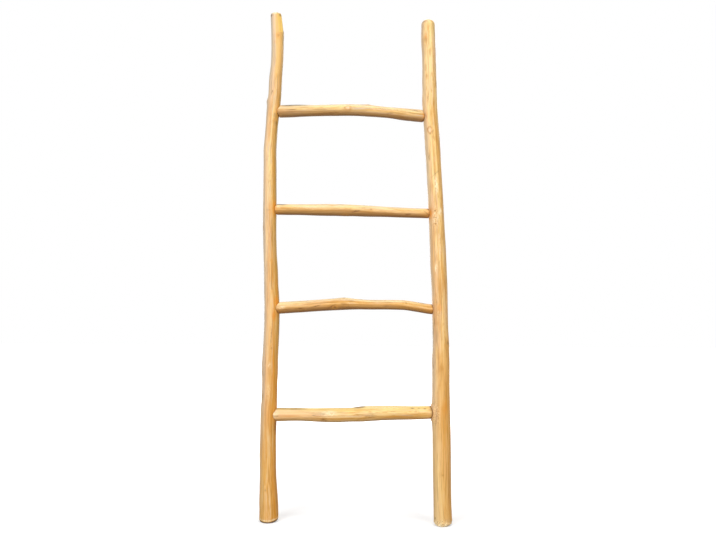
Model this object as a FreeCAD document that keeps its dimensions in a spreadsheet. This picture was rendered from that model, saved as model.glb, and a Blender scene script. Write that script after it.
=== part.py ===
"""Rustic branch ladder: two peeled stiles, four scribed and tenoned rungs, eight locking pegs.

Millimetres. The ladder stands upright on z = 0 with the origin midway between its feet.
X runs from the left stile to the right one, and -Y is the front.
"""

import FreeCAD
import Part
import Sketcher

import math
import os

SIDES = ("left", "right")
RUNGS = ("bottom", "lower", "upper", "top")

# Driving sizes that belong to no single branch
SIZES = {
    "foot_spread": 511,  # between the two stile axes at the floor
    "floor_to_bottom_rung": 314.5,  # heights along the left stile, rung by rung
    "bottom_to_lower_rung": 313,
    "lower_to_upper_rung": 292,
    "upper_to_top_rung": 288.5,
    "top_rung_to_tip": 292,
    "bottom_rung_drop": -12.5,  # how much lower each rung sits on the right stile
    "lower_rung_drop": 2.5,
    "upper_rung_drop": 14,
    "top_rung_drop": 20.5,
    "tip_drop": 32,
    "instep_height": 50,
    "ankle_height": 140,  # where the flare of the foot ends
    "crook_below_tip": 105,  # the last bend under the tip
    "neck_below_tip": 40,
    "left_foot_round": 5,
    "right_foot_round": 9,
    "left_tip_round": 8,
    "right_tip_round": 14,
    "tenon_dia": 22,
    "tenon_past_axis": 7,  # the tenon's reach beyond the stile's axis
    "tenon_root": 34,  # how far it starts inside the rung, from the stile's axis
    "mortise_spare_depth": 1,
    "tenon_gap": 0.1,  # glue line around a tenon
    "scribe_gap": 0.2,  # glue line between a rung's hollowed end and its stile
    "peg_dia": 6,
    "peg_gap": 0.05,
    "peg_inset": 3,  # from the stile's axis towards the ladder's middle
    "peg_past_tenon": 3,  # a peg is blind: it stops in the wood in front of the tenon
    "peg_chamfer": 0.8,
}

# Each stile from the floor up: lean towards the ladder's middle, sway to the back, girth
STILES = {
    "left": {
        "foot": (None, None, 57),
        "instep": (-0.5, 0.5, 54.5),
        "ankle": (-2.5, 2, 48),
        "bottom_joint": (-1.5, 2.5, 48),
        "low_span": (3.5, 4, 46),
        "lower_joint": (8.5, 3, 45),
        "mid_span": (4.5, 1, 41.5),
        "upper_joint": (3, -2, 39.5),
        "high_span": (3.5, -4, 38),
        "top_joint": (13, -3, 40),
        "shoulder": (20.5, -1, 38.5),
        "crook": (25.5, 2, 37),
        "neck": (23.5, 4, 37),
        "tip": (21, 5, 36),
    },
    "right": {
        "foot": (None, None, 54),
        "instep": (0.5, -0.5, 53.5),
        "ankle": (2, -1, 52.5),
        "bottom_joint": (4.5, -1.5, 53),
        "low_span": (5.5, -3, 50),
        "lower_joint": (8, -2, 46),
        "mid_span": (13, 2, 47),
        "upper_joint": (19, 4, 45),
        "high_span": (25, 5, 44),
        "top_joint": (35, 3, 43),
        "shoulder": (38.5, 1, 42.5),
        "crook": (40.5, -2, 42),
        "neck": (42.5, -4, 42),
        "tip": (43.5, -5, 41),
    },
}

# Each rung: its bow to the back, its rises above a straight line between its two joints,
# and its girths from the left stile's axis to the right one's, all evenly spaced
RUNG_BRANCHES = {
    "bottom": (4, (-1.5, -4, -4.5, -0.5, -1), (39, 38.5, 41, 42, 43, 40, 36.5)),
    "lower": (-5, (5.5, 12, 14.5, 14, 10.5), (34.5, 34.5, 34, 31.5, 28.5, 28.5, 29.5)),
    "upper": (3, (1.5, 2.5, 3, 2, -0.5), (32, 32, 34, 34, 31, 28, 28)),
    "top": (-4, (4, 7, 11, 9.5, 4), (36.5, 35, 33, 33, 34, 34.5, 36)),
}
RUNG_STEPS = 6

doc = FreeCAD.newDocument("branch_ladder")


def fill_sheet(sizes):
    """Puts every driving size into a cell of its own, under its own alias."""
    sheet = doc.addObject("Spreadsheet::Sheet", "Sizes")
    for row, (name, value) in enumerate(sizes.items(), start=1):
        sheet.set(f"A{row}", name)
        sheet.set(f"B{row}", str(value))
        sheet.setAlias(f"B{row}", name)
    doc.recompute()


def branch_sizes():
    """The stiles' and rungs' own sizes, named for the branch and the place on it."""
    sizes = {}
    for side, stations in STILES.items():
        for station, values in stations.items():
            for word, value in zip(("lean", "sway", "girth"), values):
                if value is not None:
                    sizes[f"{side}_{station}_{word}"] = value
    for rung, (bow, rises, girths) in RUNG_BRANCHES.items():
        sizes[f"{rung}_rung_bow"] = bow
        for step, rise in enumerate(rises, start=1):
            sizes[f"{rung}_rung_rise_{step}"] = rise
        for step, girth in enumerate(girths):
            sizes[f"{rung}_rung_girth_{step}"] = girth
    return sizes


fill_sheet({**SIZES, **branch_sizes()})


def cell(name):
    return f"Sizes.{name}"


def rung_height(side, rung):
    """Height of a rung's joint on one stile, as an expression."""
    bays = ["floor_to_bottom_rung", "bottom_to_lower_rung", "lower_to_upper_rung", "upper_to_top_rung"]
    height = " + ".join(cell(bay) for bay in bays[: RUNGS.index(rung) + 1])
    if side == "right":
        height += f" - {cell(rung + '_rung_drop')}"
    return f"({height})"


def tip_height(side):
    height = f"{rung_height('left', 'top')} + {cell('top_rung_to_tip')}"
    if side == "right":
        height += f" - {cell('tip_drop')}"
    return f"({height})"


def station_height(side, station):
    """Height of a place on a stile: the joints carry it, and the spans lie midway between them."""
    joints = [f"{rung}_joint" for rung in RUNGS]
    if station == "foot":
        return "0"
    if station in ("instep", "ankle"):
        return cell(f"{station}_height")
    if station == "tip":
        return tip_height(side)
    if station in ("crook", "neck"):
        return f"({tip_height(side)} - {cell(station + '_below_tip')})"
    if station == "shoulder":
        return f"({rung_height(side, 'top')} + {station_height(side, 'crook')}) / 2"
    if station in joints:
        return rung_height(side, RUNGS[joints.index(station)])
    below = ("low_span", "mid_span", "high_span").index(station)
    return f"({rung_height(side, RUNGS[below])} + {rung_height(side, RUNGS[below + 1])}) / 2"


def stile_centre(side, station):
    """X, Y and Z of a stile's axis at one station, as expressions."""
    foot = station == "foot"
    inwards = "1" if side == "left" else "-1"
    lean = "0" if foot else cell(f"{side}_{station}_lean")
    sway = "0" if foot else cell(f"{side}_{station}_sway")
    across = f"({inwards}) * ({lean} - {cell('foot_spread')} / 2)"
    return f"({across})", sway, station_height(side, station)


def rung_centre(rung, step):
    """X, Y and Z of a rung's axis at one step between its two joints, as expressions."""
    left = stile_centre("left", f"{rung}_joint")
    right = stile_centre("right", f"{rung}_joint")
    x, y, z = (f"({a}) + (({b}) - ({a})) * {step} / {RUNG_STEPS}" for a, b in zip(left, right))
    if 0 < step < RUNG_STEPS:
        y += f" + {cell(rung + '_rung_bow')} * sin({180 * step / RUNG_STEPS} deg)"
        z += f" + {cell(f'{rung}_rung_rise_{step}')}"
    return x, y, z


def origin_plane(body, role):
    return next(o for o in body.Origin.OriginFeatures if o.Role == role)


# How a plane's own axes read in the ladder's X, Y and Z: (sketch x, sketch y, sketch normal)
PLANE_AXES = {
    "XY_Plane": lambda x, y, z: (x, y, z),
    "YZ_Plane": lambda x, y, z: (y, z, x),
    "XZ_Plane": lambda x, y, z: (x, z, f"-({y})"),
}


def round_section(body, name, role, centre, girth, seam_turn=0):
    """A sketch with one circle, on a plane parallel to an origin plane of its body.

    The turn about the plane's normal places the lengthwise seam of a branch.
    """
    sketch = body.newObject("Sketcher::SketchObject", name)
    sketch.AttachmentSupport = (origin_plane(body, role), "")
    sketch.MapMode = "FlatFace"
    turned = FreeCAD.Rotation(FreeCAD.Vector(0, 0, 1), seam_turn)
    sketch.AttachmentOffset = FreeCAD.Placement(FreeCAD.Vector(0, 0, 0), turned)
    for axis, place in zip("xyz", PLANE_AXES[role](*centre)):
        sketch.setExpression(f"AttachmentOffset.Base.{axis}", place)
    start_radius = 10
    circle = Part.Circle(FreeCAD.Vector(0, 0, 0), FreeCAD.Vector(0, 0, 1), start_radius)
    sketch.addGeometry(circle, False)
    sketch.addConstraint(Sketcher.Constraint("Coincident", 0, 3, -1, 1))
    sketch.addConstraint(Sketcher.Constraint("Diameter", 0, 2 * start_radius))
    sketch.renameConstraint(1, "girth")
    sketch.setExpression("Constraints.girth", girth)
    return sketch


def loft_through(body, sections):
    loft = body.newObject("PartDesign::AdditiveLoft", f"{body.Name}_loft")
    loft.Profile = sections[0]
    loft.Sections = sections[1:]
    loft.Ruled = False
    doc.recompute()


def stile_branch(name, side, grown="0"):
    """The bare branch of one stile, with its girth grown all round by an expression."""
    body = doc.addObject("PartDesign::Body", name)
    seam_outwards = 180 if side == "left" else 0
    sections = []
    for station in STILES[side]:
        girth = f"{cell(f'{side}_{station}_girth')} + 2 * {grown}"
        centre = stile_centre(side, station)
        sections.append(round_section(body, f"{name}_{station}", "XY_Plane", centre, girth, seam_outwards))
    loft_through(body, sections)
    return body


def round_over(body, name, side, station, radius):
    """Rounds the rim of a stile's end with a cutter turned about the branch's axis there."""
    sketch = body.newObject("Sketcher::SketchObject", f"{name}_sketch")
    sketch.AttachmentSupport = (origin_plane(body, "XZ_Plane"), "")
    sketch.MapMode = "FlatFace"
    if station == "foot":
        upside_down = FreeCAD.Rotation(FreeCAD.Vector(1, 0, 0), 180)
        sketch.AttachmentOffset = FreeCAD.Placement(FreeCAD.Vector(0, 0, 0), upside_down)
    for axis, place in zip("xyz", PLANE_AXES["XZ_Plane"](*stile_centre(side, station))):
        sketch.setExpression(f"AttachmentOffset.Base.{axis}", place)
    rim = f"{cell(f'{side}_{station}_girth')} / 2"
    distances = {
        "arc_radius": radius,
        "arc_centre_x": f"{rim} - {radius}",
        "arc_centre_y": radius,
        "clear_of_end": radius,
        "clear_of_side": f"{rim} + {radius} / 2",
        "run_out": f"3 * {radius}",
    }
    cutter_profile(sketch)
    for word, distance in distances.items():
        sketch.setExpression(f"Constraints.{word}", distance)
    doc.recompute()
    before = body.Shape.Volume
    groove = body.newObject("PartDesign::Groove", name)
    groove.Profile = sketch
    groove.ReferenceAxis = (sketch, ["V_Axis"])
    groove.Angle = 360
    doc.recompute()
    if body.Shape.Volume >= before:
        raise RuntimeError(f"{name} cut nothing")


def cutter_profile(sketch):
    """The outside of a quarter round whose lower end runs out along a steep slope."""
    radius, rim, clear, run_out = 5, 20, 25, 15
    inner = rim - radius
    centre = FreeCAD.Vector(inner, -radius, 0)
    circle = Part.Circle(centre, FreeCAD.Vector(0, 0, 1), radius)
    corners = [(inner, 0), (inner, radius), (clear, radius), (clear, -run_out), (rim, -radius)]
    points = [FreeCAD.Vector(x, y, 0) for x, y in corners]
    sketch.addGeometry(Part.ArcOfCircle(circle, 0, math.pi / 2), False)
    for start, end in zip(points, points[1:]):
        sketch.addGeometry(Part.LineSegment(start, end), False)
    arc, up, across, down, slope = range(5)
    start, end, middle = 1, 2, 3
    origin = (-1, 1)
    joins = [(arc, end, up, start), (up, end, across, start), (across, end, down, start)]
    joins += [(down, end, slope, start), (slope, end, arc, start)]
    for join in joins:
        sketch.addConstraint(Sketcher.Constraint("Coincident", *join))
    sketch.addConstraint(Sketcher.Constraint("Vertical", up))
    sketch.addConstraint(Sketcher.Constraint("Horizontal", across))
    sketch.addConstraint(Sketcher.Constraint("Vertical", down))
    sketch.addConstraint(Sketcher.Constraint("Vertical", arc, middle, arc, end))
    sketch.addConstraint(Sketcher.Constraint("Horizontal", arc, middle, arc, start))
    named = {
        "arc_radius": ("Radius", arc, radius),
        "arc_centre_x": ("DistanceX", *origin, arc, middle, inner),
        "arc_centre_y": ("DistanceY", arc, middle, *origin, radius),
        "clear_of_end": ("DistanceY", *origin, up, end, radius),
        "clear_of_side": ("DistanceX", *origin, across, end, clear),
        "run_out": ("DistanceY", down, end, *origin, run_out),
    }
    for word, constraint in named.items():
        sketch.renameConstraint(sketch.addConstraint(Sketcher.Constraint(*constraint)), word)


def drill(body, name, role, centre, girth, backwards):
    """A hole from a plane right through one side, against the plane's normal or along it."""
    seam_off_level = 45
    sketch = round_section(body, f"{name}_sketch", role, centre, girth, seam_off_level)
    doc.recompute()
    before = body.Shape.Volume
    pocket = body.newObject("PartDesign::Pocket", name)
    pocket.Profile = sketch
    pocket.Type = "ThroughAll"
    pocket.Reversed = backwards
    doc.recompute()
    if body.Shape.Volume >= before:
        raise RuntimeError(f"{name} cut nothing")


def outwards(side):
    return "-1" if side == "left" else "1"


def peg_axis(side, rung):
    """X, Y and Z of a peg's front end, which lies in the wood before the tenon."""
    x, y, z = stile_centre(side, f"{rung}_joint")
    x = f"{x} - ({outwards(side)}) * {cell('peg_inset')}"
    y = f"{y} - {cell('tenon_dia')} / 2 - {cell('peg_past_tenon')}"
    return x, y, z


def make_stile(side):
    """One stile: the branch, its rounded ends, four blind mortises and four blind peg holes."""
    body = stile_branch(f"{side}_stile", side)
    for station in ("foot", "tip"):
        round_over(body, f"{side}_{station}_rim", side, station, cell(f"{side}_{station}_round"))
    mortise_girth = f"{cell('tenon_dia')} + 2 * {cell('tenon_gap')}"
    peg_hole_girth = f"{cell('peg_dia')} + 2 * {cell('peg_gap')}"
    for rung in RUNGS:
        x, y, z = stile_centre(side, f"{rung}_joint")
        depth = f"({cell('tenon_past_axis')} + {cell('mortise_spare_depth')})"
        floor = (f"{x} + ({outwards(side)}) * {depth}", y, z)
        drill(body, f"{side}_{rung}_mortise", "YZ_Plane", floor, mortise_girth, side == "left")
        drill(body, f"{side}_{rung}_peg_hole", "XZ_Plane", peg_axis(side, rung), peg_hole_girth, False)
    body.Label = f"{side}_stile"
    return body


def cylinder(name, start, axis, dia, length):
    """A round bar from a start point along +X or +Y."""
    along_x = FreeCAD.Rotation(FreeCAD.Vector(0, 1, 0), 90)
    along_y = FreeCAD.Rotation(FreeCAD.Vector(1, 0, 0), -90)
    bar = doc.addObject("Part::Cylinder", name)
    bar.Placement = FreeCAD.Placement(FreeCAD.Vector(0, 0, 0), along_x if axis == "X" else along_y)
    for word, place in zip("xyz", start):
        bar.setExpression(f"Placement.Base.{word}", place)
    bar.setExpression("Radius", f"({dia}) / 2")
    bar.setExpression("Height", length)
    return bar


def combine(kind, name, base, tool):
    result = doc.addObject(kind, name)
    result.Base = base
    result.Tool = tool
    return result


def make_tenon(side, rung):
    """A round bar from beyond the stile's axis to inside the rung's end."""
    x, y, z = stile_centre(side, f"{rung}_joint")
    reach = "tenon_past_axis" if side == "left" else "tenon_root"
    length = f"{cell('tenon_past_axis')} + {cell('tenon_root')}"
    return cylinder(f"{rung}_{side}_tenon", (f"{x} - {cell(reach)}", y, z), "X", cell("tenon_dia"), length)


def peg_length(side, rung):
    """From a peg's front end to the level of the stile's back."""
    return f"{cell('tenon_dia')} / 2 + {cell('peg_past_tenon')} + {cell(f'{side}_{rung}_joint_girth')} / 2"


def make_rung(rung, outlines):
    """One rung: the branch hollowed to fit both stiles, a tenon at each end, a peg hole through each."""
    name = f"{rung}_rung"
    body = doc.addObject("PartDesign::Body", f"{name}_branch")
    seam_low_at_back = -40
    sections = []
    for step in range(RUNG_STEPS + 1):
        section = f"{name}_section_{step}"
        girth = cell(f"{rung}_rung_girth_{step}")
        centre = rung_centre(rung, step)
        sections.append(round_section(body, section, "YZ_Plane", centre, girth, seam_low_at_back))
    loft_through(body, sections)
    shaped = body
    for side in SIDES:
        shaped = combine("Part::Cut", f"{name}_{side}_scribed", shaped, outlines[side])
    for side in SIDES:
        shaped = combine("Part::Fuse", f"{name}_{side}_tenoned", shaped, make_tenon(side, rung))
    hole_dia = f"{cell('peg_dia')} + 2 * {cell('peg_gap')}"
    for side in SIDES:
        depth = peg_length(side, rung)
        hole = cylinder(f"{name}_{side}_peg_drill", peg_axis(side, rung), "Y", hole_dia, depth)
        shaped = combine("Part::Cut", f"{name}_{side}_bored", shaped, hole)
    shaped.Label = name
    return shaped


def make_peg(side, rung):
    """A round peg with chamfered ends, driven in from the back and sawn off level with it."""
    name = f"{rung}_rung_{side}_peg"
    body = doc.addObject("PartDesign::Body", name)
    sketch = round_section(body, f"{name}_sketch", "XZ_Plane", peg_axis(side, rung), cell("peg_dia"))
    pad = body.newObject("PartDesign::Pad", f"{name}_bar")
    pad.Profile = sketch
    pad.Reversed = True
    pad.setExpression("Length", peg_length(side, rung))
    doc.recompute()
    edges = enumerate(pad.Shape.Edges, start=1)
    rims = [f"Edge{number}" for number, edge in edges if isinstance(edge.Curve, Part.Circle)]
    chamfer = body.newObject("PartDesign::Chamfer", f"{name}_chamfer")
    chamfer.Base = (pad, rims)
    chamfer.setExpression("Size", cell("peg_chamfer"))
    body.Label = name
    return body


def check(objects):
    """Stops if anything failed to build, or a piece isn't one sound solid."""
    for item in doc.Objects:
        if "Invalid" in item.State or "Error" in item.State:
            raise RuntimeError(f"{item.Label} failed: {item.State}")
    for item in objects:
        shape = item.Shape
        if shape.isNull() or not shape.isValid() or len(shape.Solids) != 1:
            raise RuntimeError(f"{item.Label} is not one valid solid")


def main():
    outlines = {side: stile_branch(f"{side}_outline", side, cell("scribe_gap")) for side in SIDES}
    pieces = [make_stile(side) for side in SIDES]
    pieces += [make_rung(rung, outlines) for rung in RUNGS]
    pieces += [make_peg(side, rung) for rung in RUNGS for side in SIDES]
    doc.recompute()
    check(pieces)
    os.makedirs("parts", exist_ok=True)
    for piece in pieces:
        piece.Shape.exportStep(f"parts/{piece.Label}.step")
        print(f"{piece.Label}: {piece.Shape.Volume / 1000:.1f} cm3")


main()
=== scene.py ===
import math
import random

import bmesh
import bpy
from mathutils import Matrix, Vector, noise


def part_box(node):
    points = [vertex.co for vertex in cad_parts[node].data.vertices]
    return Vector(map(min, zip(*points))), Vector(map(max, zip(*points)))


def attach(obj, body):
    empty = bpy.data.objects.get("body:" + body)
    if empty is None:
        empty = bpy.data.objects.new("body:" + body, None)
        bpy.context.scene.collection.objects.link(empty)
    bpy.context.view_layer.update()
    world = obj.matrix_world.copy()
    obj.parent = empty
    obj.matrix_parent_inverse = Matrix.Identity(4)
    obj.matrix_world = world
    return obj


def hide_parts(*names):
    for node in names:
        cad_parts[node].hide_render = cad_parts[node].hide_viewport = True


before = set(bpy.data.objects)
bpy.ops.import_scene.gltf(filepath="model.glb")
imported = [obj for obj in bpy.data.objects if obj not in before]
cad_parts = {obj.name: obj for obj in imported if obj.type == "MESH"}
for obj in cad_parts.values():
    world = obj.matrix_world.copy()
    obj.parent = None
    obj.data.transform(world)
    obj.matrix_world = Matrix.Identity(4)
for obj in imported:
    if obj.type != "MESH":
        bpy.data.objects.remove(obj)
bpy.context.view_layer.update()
mm = 0.001
print("frame loaded with", len(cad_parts), "nodes")


# shaping helpers: lengths are in millimetres, and turns round a branch in radians

peeling = {  # how a peeled branch departs from a plain round
    "slow": (0.9, 0.011), "quick": (2.4, 0.028, 0.4),  # waviness around and along, and the quick one's share
    "flatReach": (35, 110), "flatLeast": 0.25, "flatFacing": 0.6, "flatProud": 0.3, "flatEase": 0.5,
    "knotReach": 5, "knotStretch": 0.7, "knotSwell": 0.3, "knotPit": 3,
    "collarFade": 3, "tipFacing": 0.3, "tipEase": 0.6, "nubFade": 1.5,
    "listEvery": 10,  # flats and knots are listed by the centimetre
}


def smoothLine(stations):  # a smooth line through the stations, with a point for each millimetre
    places = [row[0] for row in stations]
    last = len(stations) - 1
    slopes = []
    for i in range(last + 1):
        before, after = stations[max(i - 1, 0)], stations[min(i + 1, last)]
        slopes.append([(b - a) / (after[0] - before[0]) for a, b in zip(before, after)])
    start = math.floor(places[0])
    line, i = [], 0
    for at in range(start, math.ceil(places[-1]) + 1):
        while i < last - 1 and at > places[i + 1]:
            i += 1
        gap = places[i + 1] - places[i]
        t = min(max((at - places[i]) / gap, 0), 1)
        here, there, leave, arrive = stations[i], stations[i + 1], slopes[i], slopes[i + 1]
        stay, go = 2 * t**3 - 3 * t**2 + 1, 3 * t**2 - 2 * t**3
        push, pull = (t**3 - 2 * t**2 + t) * gap, (t**3 - t**2) * gap
        line.append([stay * here[k] + push * leave[k] + go * there[k] + pull * arrive[k]
                     for k in range(1, len(here))])
    return start, line


def lookUp(branch, at):  # centre and girth at a place along a branch
    start, line = branch["line"]
    step = min(max(at - start, 0), len(line) - 1.001)  # stays short of the last point
    i = int(step)
    t = step - i
    return [a + (b - a) * t for a, b in zip(line[i], line[i + 1])]


def softMin(a, b, ease):  # the smaller one, with the corner between them eased
    h = max(ease - abs(a - b), 0) / ease
    return min(a, b) - h * h * ease / 4


def turnBetween(a, b):  # shortest turn from b to a
    return (a - b + math.pi) % (2 * math.pi) - math.pi


def prepare(branch):  # the axis line, the drawknife flats and a list of what is near each centimetre
    branch["line"] = smoothLine(branch["stations"])
    first, final = branch["stations"][0][0], branch["stations"][-1][0]
    branch["near"] = {}

    def listAlong(kind, item, low, high):
        every = peeling["listEvery"]
        for key in range(int(low // every), int(high // every) + 1):
            branch["near"].setdefault(key, ([], []))[kind].append(item)

    draw = random.Random(branch["seed"])
    for _ in range(branch["flats"]):
        middle, reach = draw.uniform(first, final), draw.uniform(*peeling["flatReach"])
        facing = draw.uniform(-math.pi, math.pi)
        depth = draw.uniform(peeling["flatLeast"], branch["flatDepth"])
        listAlong(0, (facing, middle - reach, middle + reach, depth), middle - reach, middle + reach)
    for facing, place, size, *form in branch["knots"]:
        reach = peeling["knotReach"] * size
        listAlong(1, (math.radians(facing), place, size, *form), place - reach, place + reach)


def nearby(branch, at):  # the flats and the knots that reach this place
    return branch["near"].get(int(at // peeling["listEvery"]), ((), ()))


def whittled(branch, turn, at):  # for each flat cut on the tip: lean towards it, depth here and freshness
    top = branch["stations"][-1][0]
    for facing, low, depth, ease, fresh in branch.get("tipFlats", ()):
        if at > low:
            yield math.cos(turn - math.radians(facing)), depth * ((at - low) / (top - low)) ** ease, fresh


def halfAt(branch, turn, at):  # distance from the axis to the wood's surface
    full = lookUp(branch, at)[-1] / 2
    c, s, seed = math.cos(turn), math.sin(turn), branch["seed"]
    around, along = peeling["slow"]
    slow = noise.noise((c * around + seed, s * around, at * along))
    around, along, share = peeling["quick"]
    quick = noise.noise((c * around, s * around + seed, at * along))
    half = full + branch["wobble"] * (slow + share * quick)
    flats, knots = nearby(branch, at)
    for facing, low, high, depth in flats:
        lean = math.cos(turn - facing)
        if lean > peeling["flatFacing"] and low < at < high:
            cut = depth * math.sin(math.pi * (at - low) / (high - low)) ** 2
            half = softMin(half, (full + peeling["flatProud"] - cut) / lean, peeling["flatEase"])
    for facing, place, size, rise, dip, _ in knots:
        across = turnBetween(turn, facing) * half
        far = (across**2 + (peeling["knotStretch"] * (at - place)) ** 2) / size**2
        half += rise * math.exp(-peeling["knotSwell"] * far) - dip * math.exp(-peeling["knotPit"] * far)
    for facing, place, reach, wide, rise in branch.get("collars", ()):
        if abs(at - place) < reach + peeling["collarFade"] * wide:
            far = math.hypot(turnBetween(turn, math.radians(facing)) * half, at - place)
            half += rise * math.exp(-((far - reach) / wide) ** 2)
    for lean, cut, _ in whittled(branch, turn, at):
        if lean > peeling["tipFacing"]:
            half = softMin(half, (full - cut) / lean, peeling["tipEase"])
    nub = branch.get("footNub")
    if nub and at < nub["height"]:
        fade = (1 - at / nub["height"]) ** peeling["nubFade"]
        size = nub["grain"]
        half += nub["depth"] * fade * noise.noise((c * half / size, s * half / size, at / size + seed))
    return half


# mesh helpers

boring = {"around": 48, "joinRim": 0.03}  # sides of a hole, and how close points of its rim are joined
grainWork = {  # how knots and marks are written to the points of a branch
    "noKnot": (9, 9, 0), "knotSpan": 2.6, "knotStretch": 0.75, "surfaceFrom": 0.7,
    "markSpan": 2, "markEdge": 1.5, "sharpFrom": 38,
}


def roundBlank(rings, around):  # a capped cylinder cut across into rings, ready to be shaped
    bm = bmesh.new()
    bmesh.ops.create_cone(bm, cap_ends=True, cap_tris=True, segments=around, radius1=1, radius2=1, depth=1)
    upright = [e for e in bm.edges if abs(e.verts[0].co.z - e.verts[1].co.z) > 0.5]
    bmesh.ops.subdivide_edges(bm, edges=upright, cuts=rings - 2, use_grid_fill=False)
    return bm


def inMiddle(vert):  # the point at the middle of a blank's end
    return math.hypot(vert.co.x, vert.co.y) < 0.5


def newPiece(name, bm):
    mesh = bpy.data.meshes.new(name)
    bm.to_mesh(mesh)
    bm.free()
    piece = bpy.data.objects.new(name, mesh)
    bpy.context.scene.collection.objects.link(piece)
    return piece


def bore(piece, cutters):  # cuts round holes: each cutter is start, direction, length and diameter
    bm = bmesh.new()
    for start, way, length, across in cutters:
        turned = Vector(way).to_track_quat("Z", "Y").to_matrix().to_4x4()
        place = Matrix.Translation(Vector(start) * mm + Vector(way) * length * mm / 2) @ turned
        half = across * mm / 2
        bmesh.ops.create_cone(bm, cap_ends=True, segments=boring["around"], radius1=half, radius2=half,
                              depth=length * mm, matrix=place)
    bmesh.ops.recalc_face_normals(bm, faces=bm.faces)
    cutter = newPiece("boreCutter", bm)
    hole = piece.modifiers.new("bore", "BOOLEAN")
    hole.operation, hole.solver, hole.object = "DIFFERENCE", "EXACT", cutter
    bpy.context.view_layer.update()
    done = bpy.data.meshes.new_from_object(piece.evaluated_get(bpy.context.evaluated_depsgraph_get()))
    piece.modifiers.clear()
    piece.data = done
    bpy.data.objects.remove(cutter)
    bm = bmesh.new()
    bm.from_mesh(done)
    bmesh.ops.dissolve_degenerate(bm, dist=boring["joinRim"] * mm, edges=bm.edges)
    idle = [v for v in bm.verts if len(v.link_edges) == 2]  # points on the rims that hold no corner
    bmesh.ops.dissolve_verts(bm, verts=idle)
    bm.to_mesh(done)
    bm.free()


def writeGrain(piece, branch, order, toneOf):  # where each point lies in its branch, for the wood's pattern
    mesh = piece.data
    kinds = {"grain": "FLOAT_VECTOR", "knot": "FLOAT_VECTOR", "tone": "FLOAT_VECTOR", "mark": "FLOAT_COLOR"}
    for name, kind in kinds.items():
        mesh.attributes.new(name, kind, "POINT")
    grain, knot, tone, mark = (mesh.attributes[name].data for name in kinds)  # only once all are there
    for i, vert in enumerate(mesh.vertices):
        first, second, at = (vert.co[k] / mm for k in order)
        middleA, middleB, girth = lookUp(branch, at)
        a, b = first - middleA, second - middleB
        turn, out = math.atan2(b, a), math.hypot(a, b)
        onSurface = out > grainWork["surfaceFrom"] * girth / 2
        nearest = grainWork["noKnot"]
        for facing, place, size, *_, dark in nearby(branch, at)[1]:
            u = turnBetween(turn, facing) * girth / 2 / size
            v = grainWork["knotStretch"] * (at - place) / size
            if dark and onSurface and math.hypot(u, v) < min(grainWork["knotSpan"], math.hypot(*nearest[:2])):
                nearest = (u, v, dark)
        paint = {"pale": 0, "warm": 0, "dark": 0, "speck": 0}
        for facing, place, wide, long, slant, kind, amount in branch["marks"]:
            if onSurface and abs(at - place) < grainWork["markSpan"] * long:
                across = turnBetween(turn, math.radians(facing)) * girth / 2 - slant * (at - place)
                spread = (across / wide) ** 2 + ((at - place) / long) ** 2
                paint[kind] = max(paint[kind], amount * math.exp(-spread ** grainWork["markEdge"]))
        grain[i].vector = (a * mm, b * mm, at * mm)
        knot[i].vector = nearest
        tone[i].vector = toneOf(a, b, at, turn, out, girth)
        mark[i].color = tuple(paint.values())
    mesh.shade_smooth()
    mesh.set_sharp_from_angle(angle=math.radians(grainWork["sharpFrom"]))


# joints: where each rung meets the stiles, and the sizes of its hidden tenon and peg

joinery = {
    "tenon": 22, "tenonReach": 7, "mortise": 22.2, "mortiseReach": 8, "fitGap": 0.2,
    "pegHole": 6.1, "pegInwards": 3, "pegFront": 14.2, "runOut": 60, "rungBore": 80,
}
jointPlaces = {  # x, y, z of the left and the right end
    "bottom": ((-257, 2.5, 314.5), (251, -1.5, 327)),
    "lower": ((-247, 3, 627.5), (247.5, -2, 625)),
    "upper": ((-252.5, -2, 919.5), (236.5, 4, 905.5)),
    "top": ((-242.5, -3, 1208), (220.5, 3, 1187.5)),
}


def jointAt(joint, side):  # a side is -1 on the left and 1 on the right
    return jointPlaces[joint][0 if side < 0 else 1]


# stiles: stations are height, sideways, depth and girth
# knots are turn, height, size, rise, dip and dark, which is below 0 for a healed eye
# marks are turn, height, half width, half length, slant, kind and amount
# tip flats are turn, where they start, depth, ease and freshness; collars are turn, height, reach, width, rise

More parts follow.
